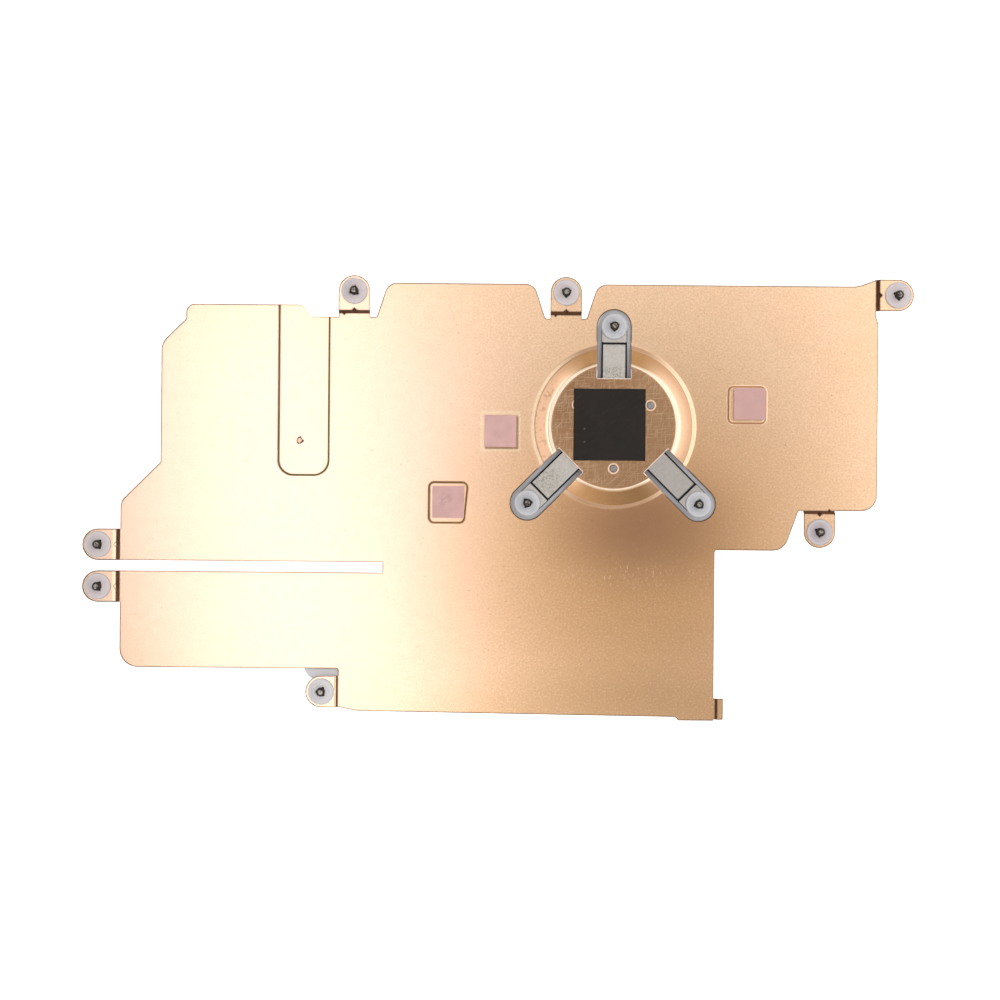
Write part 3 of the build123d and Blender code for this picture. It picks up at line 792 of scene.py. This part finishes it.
def turned(tree, stations, sides, capped=True):
    """Turned shape through (height, radius) stations, closed by caps or left as a ring."""
    join = add(tree, "GeometryNodeJoinGeometry")
    for (low, low_radius), (high, high_radius) in zip(stations, stations[1:]):
        sockets = {
            "Vertices": sides,
            "Radius Bottom": low_radius,
            "Radius Top": high_radius,
            "Depth": minus(tree, high, low),
        }
        wall = add(tree, "GeometryNodeMeshCone", sockets, fill_type="NONE").outputs["Mesh"]
        tree.links.new(lifted(tree, wall, low), join.inputs[0])
    if capped:
        for (height, radius), is_bottom in ((stations[0], True), (stations[-1], False)):
            sockets = {"Vertices": sides, "Radius": radius}
            cap = add(tree, "GeometryNodeMeshCircle", sockets, fill_type="NGON").outputs["Mesh"]
            if is_bottom:
                cap = add(tree, "GeometryNodeFlipFaces", {"Mesh": cap}).outputs[0]
            tree.links.new(lifted(tree, cap, height), join.inputs[0])
    welded = add(tree, "GeometryNodeMergeByDistance", {"Geometry": join.outputs[0], "Distance": 0.001 * MM})
    return welded.outputs[0]


def placed_and_finished(tree, inputs, shape):
    """Put the shape on every point, turned by the point's own turn, and end the tree."""
    sockets = {"Geometry": shape, "Name": "reach", "Value": length_of(tree, flat_position(tree))}
    shape = add(tree, "GeometryNodeStoreNamedAttribute", sockets, data_type="FLOAT").outputs[0]
    turn = add(tree, "GeometryNodeInputNamedAttribute", {"Name": "turn"}, data_type="FLOAT").outputs["Attribute"]
    sockets = {"Min": -stray_turn, "Max": stray_turn, "Seed": inputs["Seed"]}
    stray = add(tree, "FunctionNodeRandomValue", sockets, data_type="FLOAT")
    stray_value = next(socket for socket in stray.outputs if socket.enabled)
    about_z = add(tree, "ShaderNodeCombineXYZ", {"Z": plus(tree, turn, stray_value)}).outputs[0]
    rotation = add(tree, "FunctionNodeEulerToRotation", {"Euler": about_z}).outputs[0]
    sockets = {"Points": inputs["Geometry"], "Instance": shape, "Rotation": rotation}
    spread = add(tree, "GeometryNodeInstanceOnPoints", sockets).outputs[0]
    real = add(tree, "GeometryNodeRealizeInstances", {"Geometry": spread}).outputs[0]
    coated = add(tree, "GeometryNodeSetMaterial", {"Geometry": real, "Material": inputs["Material"]}).outputs[0]
    add(tree, "NodeGroupOutput", {"Geometry": coated})


def screw_tree():
    """Captive screw: recessed head below, shank through the seat and an M2 thread with a chamfered tip."""
    tree, size = new_tree(
        "captive screws",
        ("Head radius", "Head height", "Shank radius", "Shank length", "Core radius", "Thread radius",
         "Thread length", "Pitch", "Tip chamfer", "Tip radius"),
    )
    head_top = math_node(tree, "MULTIPLY", size["Shank length"], -1.0)
    head_bottom = minus(tree, head_top, size["Head height"])
    tip_low = minus(tree, size["Thread length"], size["Tip chamfer"])
    stations = [
        (head_bottom, minus(tree, size["Head radius"], 1.5 * head_rounding)),
        (plus(tree, head_bottom, 0.3 * head_rounding), minus(tree, size["Head radius"], 0.6 * head_rounding)),
        (plus(tree, head_bottom, head_rounding), size["Head radius"]),
        (minus(tree, head_top, head_edge), size["Head radius"]),
        (head_top, minus(tree, size["Head radius"], head_edge)),
        (head_top, size["Shank radius"]),
        (-shank_taper, size["Shank radius"]),
        (0.0, size["Core radius"]),
        (tip_low, size["Core radius"]),
        (size["Thread length"], size["Tip radius"]),
    ]
    body = turned(tree, stations, 32)
    recessed = add(tree, "GeometryNodeMeshBoolean", {"Mesh 1": body}, operation="DIFFERENCE", solver="EXACT")
    for length, width in ((recess_length, recess_width), (recess_width, recess_length)):
        block = add(tree, "GeometryNodeMeshCube", {"Size": (length, width, 2 * recess_depth)}).outputs["Mesh"]
        tree.links.new(lifted(tree, block, head_bottom), recessed.inputs["Mesh 2"])

    sockets = {
        "Resolution": 24,
        "Rotations": math_node(tree, "DIVIDE", tip_low, size["Pitch"]),
        "Start Radius": size["Core radius"],
        "End Radius": size["Core radius"],
        "Height": tip_low,
    }
    path = add(tree, "GeometryNodeCurveSpiral", sockets).outputs["Curve"]
    sockets = {"Resolution": 4, "Radius": minus(tree, size["Thread radius"], size["Core radius"])}
    ridge = add(tree, "GeometryNodeCurvePrimitiveCircle", sockets, mode="RADIUS").outputs["Curve"]
    sockets = {"Curve": path, "Profile Curve": ridge, "Fill Caps": True}
    thread = add(tree, "GeometryNodeCurveToMesh", sockets).outputs[0]
    whole = add(tree, "GeometryNodeJoinGeometry", {0: recessed.outputs[0]})
    tree.links.new(thread, whole.inputs[0])
    placed_and_finished(tree, size, whole.outputs[0])
    return tree


def washer_tree():
    """Retaining washer: chamfered disc with a lowered rim and a hole with three lobes."""
    tree, size = new_tree("retaining washers", ("Radius", "Thickness", "Hole radius", "Lobe depth"))
    top = size["Thickness"]
    upper = minus(tree, top, washer_chamfer)
    rim_top = minus(tree, top, rim_drop)
    rim = minus(tree, size["Radius"], rim_chamfer)
    edge = plus(tree, size["Hole radius"], hole_chamfer)
    ring = [
        (0.0, rim),
        (washer_chamfer, size["Radius"]),
        (upper, size["Radius"]),
        (rim_top, minus(tree, size["Radius"], rim_shoulder)),
        (rim_top, rim),
        (rim_top, minus(tree, size["Radius"], rim_width)),
        (top, minus(tree, size["Radius"], rim_width + washer_chamfer)),
        (top, plus(tree, size["Hole radius"], lobe_reach)),
        (top, plus(tree, size["Hole radius"], lobe_middle)),
        (top, edge),
        (upper, size["Hole radius"]),
        (washer_chamfer, size["Hole radius"]),
        (0.0, edge),
        (0.0, plus(tree, size["Hole radius"], lobe_middle)),
        (0.0, plus(tree, size["Hole radius"], lobe_reach)),
        (0.0, rim),
    ]
    disc = turned(tree, ring, 72, capped=False)
    flat = flat_position(tree)
    steps = add(tree, "ShaderNodeSeparateXYZ", {0: flat}).outputs
    angle = math_node(tree, "ARCTAN2", steps["Y"], steps["X"])
    wave = math_node(tree, "COSINE", math_node(tree, "MULTIPLY", angle, lobe_count))
    lobe = math_node(tree, "POWER", math_node(tree, "MAXIMUM", wave, 0.0), lobe_sharpness)
    inside = minus(tree, length_of(tree, flat), size["Hole radius"])
    sockets = {"Value": inside, "From Min": 0.0, "From Max": lobe_reach, "To Min": 1.0, "To Max": 0.0}
    weakening = add(tree, "ShaderNodeMapRange", sockets).outputs[0]
    push = times(tree, lobe, weakening, size["Lobe depth"])
    outward = add(tree, "ShaderNodeVectorMath", {0: flat}, operation="NORMALIZE").outputs[0]
    offset = add(tree, "ShaderNodeVectorMath", {0: outward, "Scale": push}, operation="SCALE").outputs[0]
    shaped = add(tree, "GeometryNodeSetPosition", {"Geometry": disc, "Offset": offset}).outputs[0]
    placed_and_finished(tree, size, shaped)
    return tree


def rivet_tree():
    """Rivet: bevelled head under the hub, shank and a peened end flush with the boss."""
    tree, size = new_tree("rivets", ("Head radius", "Head height", "Shank radius", "Shank length"))
    low = math_node(tree, "MULTIPLY", size["Head height"], -1.0)
    end = size["Shank length"]
    stations = [
        (low, minus(tree, size["Head radius"], 0.45 * MM)),
        (plus(tree, low, 0.08 * MM), minus(tree, size["Head radius"], 0.2 * MM)),
        (plus(tree, low, 0.25 * MM), size["Head radius"]),
        (0.0, size["Head radius"]),
        (0.0, size["Shank radius"]),
        (minus(tree, end, 0.10 * MM), size["Shank radius"]),
        (minus(tree, end, 0.04 * MM), minus(tree, size["Shank radius"], 0.08 * MM)),
        (end, minus(tree, size["Shank radius"], 0.35 * MM)),
        (minus(tree, end, 0.02 * MM), minus(tree, size["Shank radius"], 0.70 * MM)),
    ]
    placed_and_finished(tree, size, turned(tree, stations, 32))
    return tree


def lip_tree():
    """Copper lip raised round each rivet by the press."""
    tree, size = new_tree("rivet collars", ("Inner radius", "Outer radius", "Height"))
    middle = math_node(tree, "MULTIPLY", plus(tree, size["Inner radius"], size["Outer radius"]), 0.5)
    shoulder = math_node(tree, "MULTIPLY", size["Height"], 0.75)
    ring = [
        (-lip_root, size["Outer radius"]),
        (0.0, size["Outer radius"]),
        (shoulder, plus(tree, middle, lip_crest)),
        (size["Height"], middle),
        (shoulder, minus(tree, middle, lip_crest)),
        (0.0, size["Inner radius"]),
        (-lip_root, size["Inner radius"]),
        (-lip_root, size["Outer radius"]),
    ]
    placed_and_finished(tree, size, turned(tree, ring, 40, capped=False))
    return tree


def smoothed(mesh, angle):
    """Shade the mesh smoothly, apart from edges sharper than the angle in degrees."""
    mesh.polygons.foreach_set("use_smooth", [True] * len(mesh.polygons))
    mesh.set_sharp_from_angle(angle=math.radians(angle))


def grown_piece(name, tree, sizes, spots, turns, finish, nodes=()):
    """Run the tree on the spots and keep its result as one plain mesh in place of the CAD nodes."""
    mesh = bpy.data.meshes.new(name)
    mesh.from_pydata(spots, [], [])
    turn = mesh.attributes.new("turn", "FLOAT", "POINT")
    turn.data.foreach_set("value", [math.radians(angle) for angle in turns])
    piece = bpy.data.objects.new(name, mesh)
    bpy.context.collection.objects.link(piece)
    modifier = piece.modifiers.new(name, "NODES")
    modifier.node_group = tree
    values = dict(sizes, Seed=stray_turn_seed, Material=finish)
    for socket in tree.interface.items_tree:
        if socket.in_out == "INPUT" and socket.name in values:
            modifier[socket.identifier] = values[socket.name]
    shape = bpy.data.meshes.new_from_object(piece.evaluated_get(bpy.context.evaluated_depsgraph_get()))
    piece.modifiers.clear()
    piece.data = shape
    tidy = bmesh.new()
    tidy.from_mesh(shape)
    bmesh.ops.remove_doubles(tidy, verts=tidy.verts, dist=0.0005 * MM)
    bmesh.ops.recalc_face_normals(tidy, faces=tidy.faces)
    tidy.to_mesh(shape)
    tidy.free()
    smoothed(shape, 38)
    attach(piece, "root")
    if nodes:
        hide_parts(*nodes)
    return piece


def soft_slab(name, node, finish, crown, edge, seed):
    """Soft square slab in place of a CAD node: crowned top, rounded edges and slightly uneven sides."""
    low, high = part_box(node)
    centre = (low + high) / 2
    half = (high - low) / 2
    mesh = bpy.data.meshes.new(name)
    shape = bmesh.new()
    bmesh.ops.create_cube(shape, size=2.0)
    bmesh.ops.subdivide_edges(shape, edges=shape.edges[:], cuts=15, use_grid_fill=True)
    for vertex in shape.verts:
        u, v, w = vertex.co
        wobble = noise.noise(Vector((u * 1.3 + seed, v * 1.3, seed)))
        side = 1.0 - edge * (w * w) * 0.6 - 0.006 * (1 + wobble)
        x, y = (share * (side if abs(share) > 0.98 else 0.985) for share in (u, v))
        rim = max(abs(u), abs(v)) ** 12
        z = w * (1.0 - crown * rim) if w > 0 else w
        vertex.co = (centre.x + half.x * x, centre.y + half.y * y, centre.z + half.z * z)
    bmesh.ops.recalc_face_normals(shape, faces=shape.faces)
    shape.to_mesh(mesh)
    shape.free()
    smoothed(mesh, 50)
    mesh.materials.append(finish)
    piece = bpy.data.objects.new(name, mesh)
    bpy.context.collection.objects.link(piece)
    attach(piece, "root")
    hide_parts(node)
    return piece


copper = copper_sheet_finish()
spring_steel = spring_steel_finish()
rivet_steel = turned_metal_finish(
    "plain rivet steel", light_rivet_steel, dark_rivet_steel, 0.38, groove_radius=rivet_radius
)
screw_steel = turned_metal_finish(
    "dark plated steel", light_screw_steel, dark_screw_steel, 0.30, tip_height=tip_highlight_height
)
lip_copper = turned_metal_finish("burnished copper lip", light_lip_copper, dark_lip_copper, 0.30)
nylon = clear_nylon_finish()
compound = contact_patch_finish()
silicone = pink_pad_finish()

for node, finish in (("spreader_plate", copper), ("tripod_spring", spring_steel)):
    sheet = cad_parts[node]
    sheet.data.materials.clear()
    sheet.data.materials.append(finish)

washer_low, washer_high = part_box(washers[0])
washer_top = washer_high.z
screws = screw_tree()
for name, nodes, turns in (
    ("tab_screws", tab_screws, tab_screw_turns),
    ("arm_screws", arm_screws, arm_screw_turns),
):
    low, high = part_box(nodes[0])
    grown_piece(
        name,
        screws,
        {
            "Head radius": head_radius,
            "Head height": head_height,
            "Shank radius": shank_radius,
            "Shank length": washer_top - low.z - head_height,
            "Core radius": thread_core_radius,
            "Thread radius": thread_radius,
            "Thread length": high.z - washer_top,
            "Pitch": thread_pitch,
            "Tip chamfer": tip_chamfer,
            "Tip radius": tip_radius,
        },
        [middle_at(node, washer_top) for node in nodes],
        turns,
        screw_steel,
        nodes,
    )

grown_piece(
    "retaining_washers",
    washer_tree(),
    {
        "Radius": (washer_high.x - washer_low.x) / 2,
        "Thickness": washer_high.z - washer_low.z,
        "Hole radius": washer_hole_radius,
        "Lobe depth": lobe_depth,
    },
    [middle_at(node, washer_low.z) for node in washers],
    tab_washer_turns + arm_washer_turns,
    nylon,
    washers,
)

rivet_low, rivet_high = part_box(rivets[0])
spring_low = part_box("tripod_spring")[0]
grown_piece(
    "peened_rivets",
    rivet_tree(),
    {
        "Head radius": rivet_head_radius,
        "Head height": spring_low.z - rivet_low.z,
        "Shank radius": rivet_radius,
        "Shank length": rivet_high.z - spring_low.z,
    },
    [middle_at(node, spring_low.z) for node in rivets],
    (0, 0, 0),
    rivet_steel,
    rivets,
)
grown_piece(
    "rivet_collars",
    lip_tree(),
    {"Inner radius": lip_inner_radius, "Outer radius": lip_outer_radius, "Height": lip_height},
    [middle_at(node, rivet_high.z) for node in rivets],
    (0, 0, 0),
    lip_copper,
)

soft_slab("contact_patch", "thermal_patch", compound, 0.10, 0.004, 3.0)
for number in (1, 2, 3):
    pad = soft_slab(f"pink_pad_{number}", f"thermal_pad_{number}", silicone, 0.08, 0.02, 5.0 * number)

floor_reach = 6
floor_gap = 0.02 * MM
floor_corners = [
    (-floor_reach, -floor_reach, 0),
    (floor_reach, -floor_reach, 0),
    (floor_reach, floor_reach, 0),
    (-floor_reach, floor_reach, 0),
]
floor_mesh = bpy.data.meshes.new("studio_floor")
floor_mesh.from_pydata(floor_corners, [], [(0, 1, 2, 3)])
floor_mesh.materials.append(paper_finish())
floor = bpy.data.objects.new("studio_floor", floor_mesh)
bpy.context.collection.objects.link(floor)
floor.location.z = cad_box[0][2] - floor_gap

# Soft lights that face straight down: place, width, depth, radiance and turn about Z
light_height = 0.75
light_colour = (1.0, 0.99, 0.98)
for name, x, y, width, depth, radiance, turn in (
    ("key softbox", -0.1095, -0.10, 0.150, 0.64, 2.98, 0.11),
    ("top softbox", 0.43, 0.36, 0.94, 0.48, 1.42, 0.0),
    ("right softbox", 0.545, -0.01, 0.71, 0.26, 1.85, 0.0),
    ("low right softbox", 0.545, -0.37, 0.71, 0.46, 0.95, 0.0),
    ("low middle softbox", 0.02, -0.39, 0.115, 0.46, 2.04, 0.0),
):
    light_data = bpy.data.lights.new(name, "AREA")
    light_data.shape = "RECTANGLE"
    light_data.size = width
    light_data.size_y = depth
    light_data.energy = radiance * math.pi * width * depth
    light_data.color = light_colour
    light = bpy.data.objects.new(name, light_data)
    light.location = (x, y, light_height)
    light.rotation_euler.z = turn
    bpy.context.collection.objects.link(light)

# Pale surroundings, bright low down and dark straight above, that the camera sees as plain white
world = bpy.data.worlds.new("studio")
world.use_nodes = True
sky = world.node_tree
background = sky.nodes["Background"]
direction = add(sky, "ShaderNodeTexCoord").outputs["Generated"]
height = add(sky, "ShaderNodeSeparateXYZ", {0: direction}).outputs["Z"]
glow = between(sky, height, 0.58, 0.86, 1.2, 0.04)
seen = add(sky, "ShaderNodeLightPath").outputs["Is Camera Ray"]
sky.links.new(larger(sky, glow, seen), background.inputs["Strength"])
background.inputs["Color"].default_value = (0.98, 0.99, 1.0, 1)
bpy.context.scene.world = world
bpy.context.scene.view_settings.view_transform = "Standard"

# Camera straight above, turned by the photograph's half degree
camera_height = 0.55
camera_turn = 0.0085
photo_width = 0.230
sensor_width = 36
camera_data = bpy.data.cameras.new("camera")
camera_data.sensor_width = sensor_width
camera_data.lens = sensor_width * camera_height / photo_width
camera_data.clip_start = 0.01
camera_data.clip_end = 50
camera = bpy.data.objects.new("camera", camera_data)
camera.location = (0.575 * MM, -0.48 * MM, camera_height)
camera.rotation_euler = (0, 0, camera_turn)
bpy.context.collection.objects.link(camera)
bpy.context.scene.camera = camera
